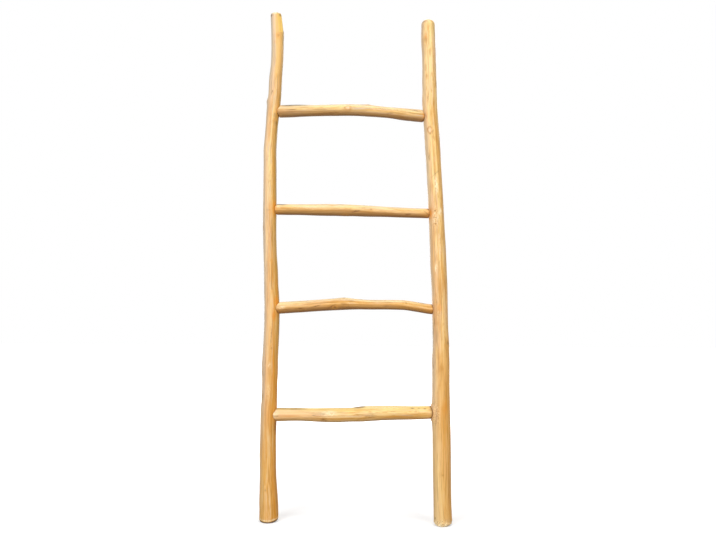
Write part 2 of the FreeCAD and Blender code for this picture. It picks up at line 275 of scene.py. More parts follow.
leftStile = {
    "name": "leftStile", "node": "left_stile", "seed": 11,
    "stations": [
        (0, -255.5, 0, 57), (32, -255.5, 0.5, 55), (55, -256, 0.5, 54.5), (100, -257, 1.5, 51),
        (140, -258, 2, 48), (240, -258, 2.5, 47.6), (314.5, -256.5, 2.5, 48.2), (362, -254.7, 3, 46.5),
        (434, -252.3, 4, 45.8), (480, -251.5, 4, 45.8), (575, -247.2, 3.5, 44.8), (627.5, -246.5, 3, 45),
        (669, -247.5, 2.5, 43.8), (695, -248.8, 2, 41.5), (739, -249.5, 1.5, 41.5), (786, -251.7, 0.5, 39.5),
        (834, -252.2, -0.5, 39), (919.5, -252.2, -2, 39.4), (952, -251.8, -2.5, 39), (1047, -251.3, -4, 38),
        (1094, -251, -4, 37), (1117, -249.5, -4, 36.9), (1165, -246, -3.5, 36), (1190, -243.6, -3.2, 38),
        (1212, -241.6, -3, 39.4), (1235, -239.4, -2.5, 39.4), (1260, -237, -2, 38.2), (1306, -235.2, -1, 37.2),
        (1353, -231, 1, 36), (1400, -229.8, 2.5, 36.2), (1447, -230.8, 3.5, 36), (1472, -231.8, 4.5, 35.6),
        (1500, -233, 5, 35),
    ],
    "footRound": {"front": 3, "right": 12, "left": 8}, "tipRound": 8,
    "knots": [
        (-72, 1430, 7, 0.8, 0.1, 0.25), (-168, 1238, 3.4, 2.4, 0, 0.5), (-6, 1438, 8, 1.2, 0, 0),
        (150, 1090, 9, 1.4, 0.6, 0.8), (-150, 868, 7, 0.8, 0.3, 0.4), (70, 700, 11, 1.8, 0.6, 0.9),
        (-75, 512, 5, 0.4, 0.2, 0.4), (120, 420, 8, 1.2, 0.5, 0.7), (-170, 205, 9, 1.4, 0.5, 0.8),
        (40, 1300, 7, 0.9, 0.4, 0.6), (-100, 96, 6, 0.5, 0.2, 0.4), (-172, 455, 16, 2.2, 0, 0),
    ],
    "marks": [
        (-104, 1411, 5, 6, 0, "warm", 0.2), (-78, 1429, 6, 9, 0, "warm", 0.3),
        (-166, 1288, 3, 28, 0, "dark", 0.5), (-60, 1195, 7, 6, 0, "dark", 0.5),
        (-42, 1172, 5, 7, 0, "dark", 0.45), (-91, 917, 7, 2.4, 0, "dark", 0.3),
        (-36, 929, 5, 14, 0, "warm", 0.65), (-42, 650, 7, 16, 0, "warm", 0.8),
        (-28, 690, 5, 36, 0, "warm", 0.4), (-64, 606, 6, 14, 0, "warm", 0.7),
        (-82, 540, 1.6, 26, 0, "dark", 0.6), (-88, 384, 8, 26, 0, "pale", 0.25),
        (-86, 462, 5, 9, 0, "pale", 0.5), (-118, 470, 3, 80, 0, "dark", 0.2),
        (-58, 455, 3, 60, 0, "warm", 0.45), (-42, 110, 4, 110, 0, "warm", 0.4),
        (-18, 90, 4, 100, 0, "dark", 0.3), (-150, 1492, 9, 4, 0, "dark", 0.7),
        (-40, 1492, 7, 4, 0, "dark", 0.7), (-120, 770, 5, 60, 0, "pale", 0.15),
        # these two dark marks are painted shadow on the right edge below the bottom and the lower rung
        (-14, 282, 9, 22, 0, "dark", 1), (-4, 588, 6, 32, 0, "dark", 0.8),
    ],
    "tipFlats": [
        (-46, 1440, 2.6, 0.6, 1), (4, 1445, 4.2, 1, 0.8), (172, 1486, 2.5, 1, 0), (95, 1470, 4.5, 1, 0.5),
    ],
    "stains": {"bottom": 0.4, "lower": 0.6, "upper": 0.65, "top": 0.3},
}
rightStile = {
    "name": "rightStile", "node": "right_stile", "seed": 29,
    "stations": [
        (0, 255.5, 0, 54), (19, 256, 0, 53.4), (70, 254.5, -0.5, 51.6), (134, 253.5, -1, 52.3),
        (228, 252.8, -1, 53), (297, 251.4, -1.5, 53), (368, 250.8, -2, 51.5), (437, 250.5, -2.5, 50.8),
        (484, 250.2, -3, 49.6), (530, 249.8, -2.5, 47), (577, 248.6, -2, 45.8), (625, 247.8, -2, 46),
        (670, 247, -0.5, 46.2), (716, 245, 0.5, 47), (763, 242.7, 2, 47), (810, 241.2, 3, 46.3),
        (856, 239, 3.5, 46), (905.5, 236.8, 4, 45), (950, 234.8, 4.5, 44), (996, 232.3, 5, 43.7),
        (1042, 229.8, 5, 43.6), (1089, 227, 4.5, 44.5), (1135, 224.2, 4, 44.7), (1160, 222.4, 3.5, 43.6),
        (1187.5, 220.4, 3, 43), (1229, 218.2, 2, 42.5), (1275, 217.6, 1, 41.6), (1322, 216.6, -0.5, 41),
        (1369, 215.6, -2, 40), (1400, 214, -3, 40.8), (1420, 213.4, -3.6, 40.6), (1445, 213.2, -4.4, 39),
        (1468, 213, -5, 37.4),
    ],
    "footRound": {"front": 4, "right": 14, "left": 14}, "tipRound": 15,
    "knots": [
        (-102, 1146, 10, 0.7, 0.3, -0.9), (-100, 875, 4, 0.3, 0.5, 1), (-101, 893, 3.6, 0.2, 0.4, 0.9),
        (-99, 912, 4, 0.3, 0.5, 1), (-110, 1406, 11, 0.9, 0.2, 0.35), (-114, 648, 7, 0.9, 0.2, 0.25),
        (160, 1290, 8, 1.1, 0.5, 0.7), (60, 1040, 9, 1.5, 0.6, 0.9), (130, 760, 10, 1.5, 0.5, 0.8),
        (-30, 530, 9, 1.2, 0.4, 0.6), (170, 480, 8, 1.2, 0.5, 0.7), (85, 220, 11, 1.6, 0.6, 0.8),
        (-85, 150, 5, 0.3, 0.2, 0.35), (180, 327, 12, 3, 0, 0), (-176, 1232, 8, 0.9, 0.3, 0.5),
    ],
    "marks": [
        (-132, 1190, 3, 9, -0.3, "dark", 0.35), (-104, 1240, 2.2, 20, 0.08, "dark", 0.4),
        (-104, 1240, 3, 22, 0.08, "warm", 0.3), (-111, 1301, 2.6, 7, 0, "dark", 0.4),
        (-112, 1302, 4, 10, 0, "warm", 0.35), (-110, 1412, 5, 8, 0, "warm", 0.4),
        (-93, 1442, 5, 9, 0, "warm", 0.3), (-96, 894, 10, 28, 0, "pale", 0.7),
        (-60, 910, 6, 10, 0, "pale", 0.9), (-98, 894, 9, 28, 0, "speck", 0.8),
        (-138, 905, 7, 12, 0, "warm", 0.8), (-80, 987, 5, 27, 0, "pale", 0.9),
        (-76, 1021, 1.8, 14, 1.2, "dark", 0.6), (-122, 1068, 3, 10, 0, "dark", 0.5),
        (-94, 632, 8, 11, 0, "warm", 0.4), (-108, 614, 6, 14, 0, "speck", 0.6),
        (-109, 747, 4.5, 13, 0, "pale", 0.9), (-128, 327, 14, 34, 0, "speck", 0.8),
        (-62, 344, 10, 22, 0, "warm", 0.3), (-125, 1460, 13, 4, 0, "dark", 0.5),
        (-168, 712, 3, 5, 0, "dark", 0.6), (-162, 998, 3, 9, 0, "dark", 0.5),
        (-14, 1281, 3, 15, 0, "dark", 0.5), (-14, 190, 3, 11, 0, "dark", 0.5),
        (-70, 1330, 5, 60, 0, "pale", 0.15), (-75, 820, 5, 50, 0, "pale", 0.25),
        (-92, 10, 26, 14, 0, "speck", 0.8),
    ],
    "tipFlats": [(-150, 1440, 1.5, 1, 0), (60, 1446, 3.5, 1, 0)], "collars": [(180, 327, 21, 4, 2.6)],
    "footNub": {"height": 22, "depth": 5, "grain": 6, "lift": 1.5, "liftSeed": 7},
    "stains": {"bottom": 0.5, "lower": 0.35, "upper": 0.75, "top": 0.3},
}
stileWork = {
    "around": 120, "along": 440, "endZone": 60, "endRings": 30, "wobble": 0.7, "flats": 46, "flatDepth": 0.9,
    "footShares": (0.2, 0.4, 0.6, 0.78, 0.91), "footRimRings": 10, "footRiseRings": 8,
    "tipRimRings": 12, "tipShares": (0.9, 0.75, 0.55, 0.35, 0.17),
}
stileTone = {  # stains round the joints, fresh cuts, pale tips, and on the foot's rim a painted highlight band with painted shadow along its bottom edge
    "stainFrom": 17, "stainFade": 9, "cutSkin": 0.5, "tipFade": 5, "nubFade": 13,
    "edge": 2.6, "edgeShare": 0.6, "footShadow": 1.4, "band": 0.8, "bandRise": 3, "bandWide": 2,
}


def stileRings(stile):  # height, inset and share of the full round, from the foot's middle to the tip's
    work, tip = stileWork, stile["tipRound"]
    top = stile["stations"][-1][0]
    rings = [(0, 0, share) for share in work["footShares"]]
    count = work["footRimRings"]
    rings += [(0, math.pi / 2 * i / count, 1) for i in range(count + 1)]  # by its angle: footRim gives its size
    count = work["footRiseRings"]
    rings += [(i / count, math.pi / 2, 1) for i in range(1, count)]  # up to where all sides are level
    footRings = len(rings)
    first, low, high = max(stile["footRound"].values()), work["endZone"], top - tip - work["endZone"]
    count = work["endRings"]
    rings += [(first + (low - first) * i / count, 0, 1) for i in range(1, count)]
    rings += [(low + (high - low) * i / work["along"], 0, 1) for i in range(work["along"] + 1)]
    rings += [(high + (top - tip - high) * i / count, 0, 1) for i in range(1, count)]
    count = work["tipRimRings"]
    for i in range(count + 1):
        q = math.pi / 2 * i / count
        rings.append((top - tip + tip * math.sin(q), tip * (1 - math.cos(q)), 1))
    rings += [(top, tip, share) for share in work["tipShares"]]
    return rings, footRings


def footRim(stile, turn):  # how far the foot's rim is rounded over on this side
    rounds = stile["footRound"]
    share = math.cos(turn) ** 2
    return rounds["front"] * (1 - share) + rounds["right" if math.cos(turn) > 0 else "left"] * share


def makeStile(stile, side):
    stile.update(stileWork)
    prepare(stile)
    rings, footRings = stileRings(stile)
    top, level = stile["stations"][-1][0], max(stile["footRound"].values())
    nub = stile.get("footNub")
    bm = roundBlank(len(rings), stile["around"])
    for vert in bm.verts:
        step = round((vert.co.z + 0.5) * (len(rings) - 1))
        at, inset, share = rings[step]
        turn = math.atan2(vert.co.y, vert.co.x)
        if step < footRings:
            rim = footRim(stile, turn)
            at, inset = rim * (1 - math.cos(inset)) + at * (level - rim), rim * (1 - math.sin(inset))
        if inMiddle(vert):
            share = 0
        x, y, _ = lookUp(stile, at)
        out = share * (halfAt(stile, turn, at) - inset)
        across, deep = out * math.cos(turn), out * math.sin(turn)
        if nub and step < footRings:  # the rough end is uneven underneath too
            uneven = noise.noise((across / nub["grain"], deep / nub["grain"], nub["liftSeed"]))
            at += nub["lift"] * max(0, uneven)
        vert.co = Vector((x + across, y + deep, at)) * mm
    piece = newPiece(stile["name"], bm)
    ends = [jointAt(joint, side) for joint in jointPlaces]
    reach, inwards, front = joinery["mortiseReach"], joinery["pegInwards"], joinery["pegFront"]
    bore(piece, [((x + side * reach, y, z), (-side, 0, 0), reach + joinery["runOut"], joinery["mortise"])
                 for x, y, z in ends])
    bore(piece, [((x - side * inwards, y - front, z), (0, 1, 0), joinery["runOut"], joinery["pegHole"])
                 for x, y, z in ends])

    def toneOf(a, b, at, turn, out, girth):  # stain at the joints, freshness of a cut, pale ends, and the foot rim's painted highlight and shadow
        stain = fresh = 0
        for (_, _, z), amount in zip(ends, stile["stains"].values()):
            off = max(0, math.hypot(b, at - z) - stileTone["stainFrom"])
            stain = max(stain, amount * math.exp(-off / stileTone["stainFade"]) * (a * side < 0))
        for lean, cut, amount in whittled(stile, turn, at):
            if abs(out * lean - girth / 2 + cut) < stileTone["cutSkin"]:
                fresh = max(fresh, amount)
        rim = math.exp(-((top - at) / stileTone["tipFade"]) ** 2)
        if nub:
            rim += math.exp(-(at / stileTone["nubFade"]) ** 2)
        else:
            # the left foot: a painted highlight band over its rim, and painted shadow along its bottom edge
            edge = stileTone["edge"] + stileTone["edgeShare"] * footRim(stile, turn)
            band = (at - edge - stileTone["bandRise"]) / stileTone["bandWide"]
            rim += stileTone["band"] * math.exp(-band**2) - stileTone["footShadow"] * math.exp(-(at / edge) ** 4)
        return stain, fresh, rim

    writeGrain(piece, stile, (0, 1, 2), toneOf)
    print("made", stile["name"], len(piece.data.polygons), "faces")
    return piece


stiles = (leftStile, rightStile)
stilePieces = [makeStile(leftStile, -1), makeStile(rightStile, 1)]


# rungs: points are place across, height and girth, and turns are 90 at the top and 180 at the front
# grey streaks are turn, place, reach and amount; pairs are for the left and the right end; joint shade widths
# size the painted contact shade

bottomRung = {
    "name": "bottomRung", "node": "bottom_rung", "joint": "bottom", "seed": 41, "bow": 4,
    "points": [
        (-257, 314.5, 39), (-226, 314.7, 39.2), (-190, 315.2, 38.4), (-155, 315.2, 38.4), (-120, 314.4, 40),
        (-80, 314.2, 41.8), (-48, 314.6, 42.3), (-13, 316.2, 41), (22, 318.8, 44), (57, 321.3, 43.4),
        (92, 322.8, 42), (127, 323.8, 41.1), (162, 324.4, 40), (214, 326.2, 37.6), (251, 327, 36.5),
    ],
    "knots": [
        (206, -92, 6, 0.7, 0.1, 0.4), (110, 12, 9, 1.2, 0.1, 0.3), (20, 110, 8, 1.2, 0.5, 0.8),
        (160, 178, 5, 0.4, 0.2, 0.4), (-40, -150, 7, 1, 0.4, 0.6),
    ],
    "nose": (2.8, 2.5), "forward": (-2, 0), "stains": (0.2, 0.3), "lines": (2.4, 5),
    "weather": ((106, 12, 17, 1),), "paleNose": 1.2,
    "marks": [
        (158, -75, 9, 22, 0, "pale", 0.7), (152, -235, 3.2, 6, 0.7, "dark", 0.45),
        (188, -231, 2.6, 8, -0.2, "dark", 0.45), (163, -234, 5, 9, 0, "pale", 0.7),
        (187, -190, 3, 34, 0, "warm", 0.4), (212, -90, 6, 10, 0, "dark", 0.5),
        (196, 45, 6, 14, 0, "dark", 0.35), (130, 167, 2.2, 7, 0, "dark", 0.7),
        (133, 187, 2.2, 4, 0, "dark", 0.7), (136, 204, 2.4, 4, 0, "dark", 0.7),
        # the long pale mark at 120 is a painted highlight line along the top front edge
        (120, 90, 5, 70, 0, "pale", 0.5),
    ],
}
lowerRung = {
    "name": "lowerRung", "node": "lower_rung", "joint": "lower", "seed": 53, "bow": -5,
    "points": [
        (-247, 627.5, 34.6), (-208, 630, 34.8), (-172, 632.4, 34.4), (-138, 634.6, 34.2), (-100, 637.4, 34.2),
        (-66, 639.7, 34.4), (-31, 641.5, 34.6), (4, 640.8, 31), (39, 639.6, 28.8), (74, 639.6, 28.2),
        (110, 639.6, 28), (145, 638.4, 28.4), (179, 633.6, 29), (214, 628, 29.4), (247.5, 625, 29.5),
    ],
    "knots": [
        (104, -32, 7, 1.6, 0, 0.3), (205, -58, 8, 0.6, 0.3, 0.7), (10, 60, 7, 1, 0.4, 0.7),
        (150, 150, 4, 0.3, 0.2, 0.5), (-30, -160, 8, 1, 0.4, 0.6),
    ],
    "nose": (1.6, 2), "forward": (-2.5, 0), "stains": (0.3, 0.4), "lines": (2.4, 3.5),
    "weather": ((100, 196, 14, 0.9),),
    "marks": [
        (196, -160, 2, 11, -0.15, "dark", 0.6), (186, -116, 2.4, 17, -0.25, "dark", 0.7),
        (195, -66, 3, 12, -0.5, "dark", 0.9), (177, -31, 3.6, 8, 0, "dark", 0.6),
        # the long pale mark at 130 is a painted highlight line along the top front edge
        (144, -8, 4, 10, 0, "dark", 0.3), (170, -215, 6, 12, 0, "pale", 0.5), (130, 90, 3, 60, 0, "pale", 0.5),
    ],
}
upperRung = {
    "name": "upperRung", "node": "upper_rung", "joint": "upper", "seed": 67, "bow": 3,
    "points": [
        (-252.5, 919.5, 32), (-226, 919.5, 32), (-190, 919.1, 32), (-155, 918.5, 32.4), (-120, 917.6, 33.8),
        (-84, 917.3, 34.3), (-48, 917, 34.4), (-13, 915.9, 34), (22, 914.2, 33.5), (57, 912.6, 31.8),
        (92, 910.9, 30), (127, 909, 29), (162, 907.4, 28.4), (197, 906.4, 28.1), (236.5, 905.5, 28),
    ],
    "knots": [
        (60, -90, 8, 1, 0.4, 0.6), (165, 48, 5, 0.5, 0.2, 0.5), (-20, 130, 7, 1, 0.4, 0.7),
        (-120, -30, 8, 1, 0.3, 0.5),
    ],
    "nose": (3.5, 2), "forward": (0, 0), "stains": (0.6, 0.8), "lines": (2.4, 3),
    "weather": ((114, -222, 18, 1),),
    "marks": [
        (150, -224, 7, 9, 0, "pale", 0.5), (190, 3, 2.6, 12, -0.3, "dark", 0.85),
        (201, 155, 3, 8, -0.2, "dark", 0.85), (105, 212, 4, 5, 0, "dark", 0.7),
        (168, 206, 1.8, 7, 0.7, "dark", 0.6), (192, 212, 2, 5, 0.5, "dark", 0.6),
        # the long pale mark at 150 is a painted highlight line along the top front edge
        (134, -67, 1.8, 13, 0, "warm", 0.6), (150, -130, 4, 50, 0, "pale", 0.4),
    ],
}
topRung = {
    "name": "topRung", "node": "top_rung", "joint": "top", "seed": 79, "bow": -4,
    "points": [
        (-242.5, 1208, 36.6), (-191, 1208.2, 36.6), (-155, 1208.7, 35), (-120, 1208.4, 32.9),
        (-84, 1208.8, 32.8), (-48, 1209.2, 33.2), (-13, 1208.9, 33.5), (20, 1207.6, 34), (39, 1206.2, 34),
        (66, 1203.8, 32.6), (92, 1201, 31.8), (127, 1197, 33.6), (155, 1193.8, 35.2), (179, 1191.3, 36),
        (220.5, 1187.5, 36),
    ],
    "knots": [
        (106, 38, 4, 1.5, 0, 0.6), (166, -20, 9, 0.7, 0.2, -0.7), (0, -60, 8, 1.2, 0.5, 0.8),
        (-60, 140, 7, 1, 0.4, 0.6),
    ],
    "nose": (5, 4.5), "forward": (0, 0), "stains": (0.3, 0.2), "lines": (2.4, 3.5),
    "weather": ((120, -178, 42, 1),),
    "marks": [
        (196, 103, 3, 10, -0.3, "dark", 0.55), (144, 181, 2.6, 19, 0.2, "dark", 0.5),
        # the long pale mark at 150 is a painted highlight line along the top front edge
        (180, 203, 8, 5, 0, "warm", 0.7), (150, 90, 4, 60, 0, "pale", 0.4),
    ],
}
rungWork = {
    "around": 96, "along": 210, "wobble": 0.55, "flats": 22, "flatDepth": 0.9, "chamfer": 1.5, "forwardOver": 6,
    "tenonShares": (0.3, 0.65, 1), "saddleShares": (0, 0.33, 0.67), "noseRings": 6,
}
rungTone = {"nearStile": 48, "stainFade": 11, "weatherSharp": 12, "noseFrom": 14, "noseFade": 7}
meeting = {"span": 60, "halvings": 24}  # how the place where a rung meets its stile is searched


def rungRings():  # kind of ring, side and how far along it
    ends = {}
    for side in (-1, 1):
        end = [("tenonEnd", side, share) for share in rungWork["tenonShares"]] + [("tenonEdge", side, 1)]
        end += [("saddle", side, share) for share in rungWork["saddleShares"]]
        ends[side] = end + [("nose", side, i / rungWork["noseRings"]) for i in range(rungWork["noseRings"] + 1)]
    body = [("body", 0, i / rungWork["along"]) for i in range(1, rungWork["along"])]
    return ends[-1] + body + ends[1][::-1]


def gapTo(stile, x, y, z):  # how far a point stands off a stile's surface
    stileX, stileY, _ = lookUp(stile, z)
    return math.hypot(x - stileX, y - stileY) - halfAt(stile, math.atan2(y - stileY, x - stileX), z)


def meetStile(rung, side, turn, outOf):  # where a line of the rung's surface comes to the stile's round
    stile = leftStile if side < 0 else rightStile
    inside = jointAt(rung["joint"], side)[0]
    outside = inside - side * meeting["span"]
    for _ in range(meeting["halvings"]):
        x = (inside + outside) / 2
        y, z, _ = lookUp(rung, x)
        out = outOf(x)
        if gapTo(stile, x, y + out * math.cos(turn), z + out * math.sin(turn)) < joinery["fitGap"]:
            inside = x
        else:
            outside = x
    return outside


def makeRung(rung):
    left, right = jointPlaces[rung["joint"]]
    rung.update(rungWork)
    over, rung["stations"] = rung["forwardOver"], []
    for x, z, girth in rung["points"]:
        share = (x - left[0]) / (right[0] - left[0])
        y = left[1] + (right[1] - left[1]) * share + rung["bow"] * math.sin(math.pi * share)
        y += rung["forward"][0] * max(0, 1 - over * share)
        y += rung["forward"][1] * max(0, over * share - (over - 1))
        rung["stations"].append((x, y, z, girth))
    prepare(rung)
    rings = rungRings()
    tenon, reach, chamfer = joinery["tenon"] / 2, joinery["tenonReach"], rung["chamfer"]
    nose = dict(zip((-1, 1), rung["nose"]))
    edges = {}

    def rimAt(side, turn):  # where the nose ends, for one line along the rung
        key = (side, round(turn, 4))
        if key not in edges:
            edges[key] = meetStile(rung, side, turn, lambda x: halfAt(rung, turn, x) - nose[side])
        return edges[key]

    bm = roundBlank(len(rings), rung["around"])
    for vert in bm.verts:
        kind, side, share = rings[round((vert.co.z + 0.5) * (len(rings) - 1))]
        turn = math.atan2(vert.co.y, vert.co.x)
        x, y, z = left if side < 0 else right
        if kind == "tenonEnd":
            x, out = x + side * reach, share * (tenon - chamfer)
            if inMiddle(vert):
                out = 0
        elif kind == "tenonEdge":
            x, out = x + side * (reach - chamfer), tenon
        elif kind == "saddle":
            out = tenon + share * (halfAt(rung, turn, rimAt(side, turn)) - nose[side] - tenon)
            x = meetStile(rung, side, turn, lambda place: out)
        elif kind == "nose":
            q = math.pi / 2 * share
            x = rimAt(side, turn) - side * nose[side] * (1 - math.cos(q))
            out = halfAt(rung, turn, x) - nose[side] * (1 - math.sin(q))
        else:
            start, stop = rimAt(-1, turn) + nose[-1], rimAt(1, turn) - nose[1]
            x = start + share * (stop - start)
            out = halfAt(rung, turn, x)
        if not kind.startswith("tenon"):
            y, z, _ = lookUp(rung, x)
        vert.co = Vector((x, y + out * math.cos(turn), z + out * math.sin(turn))) * mm
    piece = newPiece(rung["name"], bm)
    inwards, through = joinery["pegInwards"], joinery["rungBore"]
    bore(piece, [((x - side * inwards, y - through / 2, z), (0, 1, 0), through, joinery["pegHole"])
                 for side, (x, y, z) in ((-1, left), (1, right))])

    def toneOf(a, b, at, turn, *_):  # stain at the joints, painted contact shade where it meets a stile, a dark grey streak
        y, z = lookUp(rung, at)[:2]
        stain = line = grey = 0
        for stile, amount in zip(stiles, rung["stains"]):
            if abs(at - lookUp(stile, z + b)[0]) > rungTone["nearStile"]:
                continue
            gap = gapTo(stile, at, y + a, z + b)
            stain = max(stain, amount * math.exp(-max(gap, 0) / rungTone["stainFade"]))
            # a thin line of painted contact shade where the rung meets the stile
            line = max(line, math.exp(-(gap / rung["lines"][at > 0]) ** 2))
        sharp = rungTone["weatherSharp"]
        for facing, place, spread, amount in rung["weather"]:
            lean = max(0, sharp * math.cos(turn - math.radians(facing)) - (sharp - 1))
            grey = max(grey, amount * lean * math.exp(-((at - place) / spread) ** 4))
        fromNose = max(0, at - left[0] - rungTone["noseFrom"])
        pale = rung.get("paleNose", 0) * math.exp(-fromNose / rungTone["noseFade"])
        return stain, line, grey - pale

    writeGrain(piece, rung, (1, 2, 0), toneOf)
    print("made", rung["name"], len(piece.data.polygons), "faces")
    return piece


rungs = (bottomRung, lowerRung, upperRung, topRung)
rungPieces = [makeRung(rung) for rung in rungs]


# finishes: one small class writes the sums of a node tree as plain sums

class Wire:
    def __init__(self, tree, socket=None):
        self.tree, self.socket = tree, socket

    def node(self, kind, settings=(), inputs=(), output=0):
        made = self.tree.nodes.new(kind)
        for name, value in dict(settings).items():
            setattr(made, name, value)
        for name, value in dict(inputs).items():
            if isinstance(value, Wire):
                self.tree.links.new(value.socket, made.inputs[name])
            else:
                made.inputs[name].default_value = value
        return Wire(self.tree, made.outputs[output] if made.outputs else None)

    def pick(self, output):  # another output of the same node
        return Wire(self.tree, self.socket.node.outputs[output])

    def parts(self):  # the three parts of a vector
        first = self.node("ShaderNodeSeparateXYZ", (), {0: self})
        return first, first.pick("Y"), first.pick("Z")

    def sums(self, operation, first, second=0):
        return self.node("ShaderNodeMath", {"operation": operation}, {0: first, 1: second})

    def __add__(self, other):
        return self.sums("ADD", self, other)

    def __radd__(self, other):
        return self.sums("ADD", other, self)

    def __sub__(self, other):
        return self.sums("SUBTRACT", self, other)

    def __rsub__(self, other):
        return self.sums("SUBTRACT", other, self)

    def __mul__(self, other):
        return self.sums("MULTIPLY", self, other)

    def __rmul__(self, other):
        return self.sums("MULTIPLY", other, self)

    def __truediv__(self, other):
        return self.sums("DIVIDE", self, other)

    def __rtruediv__(self, other):
        return self.sums("DIVIDE", other, self)

    def __pow__(self, other):
        return self.sums("POWER", self, other)

    def __neg__(self):
        return self.sums("MULTIPLY", self, -1)

    def __abs__(self):
        return self.sums("ABSOLUTE", self)

    def wave(self):  # 0 to 1 and back
        return self.sums("SINE", self) * 0.5 + 0.5

    def bell(self):  # 1 at nought, falling off both ways
        return self.sums("EXPONENT", -(self * self))

    def sway(self, amount):  # a pattern about nought
        return (self - 0.5) * amount

    def between(self, low, high, least=0, most=1):  # least at low to most at high, eased
        return self.node("ShaderNodeMapRange", {"interpolation_type": "SMOOTHSTEP"},
                         {0: self, 1: low, 2: high, 3: least, 4: most})

    def blend(self, colour, other):  # from one colour to another by this value
        return self.node("ShaderNodeMix", {"data_type": "RGBA"}, {0: self, 6: colour, 7: other}, 2)

    def paint(self, colour, amount):
        return amount.blend(self, colour)

    def stretched(self, scale, shift):
        return self.node("ShaderNodeVectorMath", {"operation": "MULTIPLY_ADD"}, {0: self, 1: scale, 2: shift})

    def cloud(self, scale, shift, detail=2, rough=0.5):
        place = self.stretched(scale, (shift, shift * 0.7, shift * 1.3))
        return self.node("ShaderNodeTexNoise", {"noise_dimensions": "3D"},
                         {"Vector": place, "Scale": 1, "Detail": detail, "Roughness": rough})


def freshNodes(owner):  # an empty node tree for a material or the world
    owner.use_nodes = True
    owner.node_tree.nodes.clear()
    return Wire(owner.node_tree)


def tint(red, green, blue):  # a colour as it looks on screen, 0 to 255
    shares = [c / 255 for c in (red, green, blue)]
    return tuple(((c + 0.055) / 1.055) ** 2.4 for c in shares) + (1,)


def plainGrey(level):
    return (level, level, level, 1)


peeledWood = {
    "cream": tint(252, 220, 150), "honey": tint(238, 188, 108), "amber": tint(210, 146, 60),
    "pink": tint(244, 201, 162), "ash": tint(212, 194, 168), "brown": tint(112, 70, 34),
    "umber": tint(128, 88, 46), "deepOrange": tint(228, 140, 26), "rust": tint(206, 134, 70),
    "gold": tint(220, 154, 66), "lemon": tint(252, 228, 142), "olive": tint(140, 114, 48),
    "brass": tint(208, 158, 70), "fresh": tint(250, 208, 112), "cut": tint(255, 236, 192),
    "grey": tint(74, 68, 60), "strands": 0.36, "streaks": 0.8, "shift": 0, "lowWarmth": (), "cheeks": (),
    "ringsPerMetre": 330, "ringWarp": 3.2, "ringBend": 1.6, "lateEdge": 3,
    "roughness": 0.52, "ior": 1.45, "specular": 0.35, "bump": 0.4, "bumpDepth": 0.0006,
}
woodPatterns = {  # how closely each repeats across and along the branch, its offset, detail and roughness
    "patch": (26, 4.2, 3, 2, 0.5), "blush": (34, 6, 17, 2, 0.5), "streak": (190, 4.5, 31, 3, 0.5),
    "fibre": (850, 20, 47, 2, 0.5), "pore": (2300, 120, 59, 1, 0.5), "warp": (32, 6.5, 71, 2, 0.5),
    "split": (48, 2.1, 83, 1, 0.5), "mottle": (150, 28, 97, 3, 0.6), "fleck": (380, 130, 113, 2, 0.5),
    "strand": (240, 8, 127, 3, 0.65), "dots": (430, 430, 139, 1, 0.5),
}


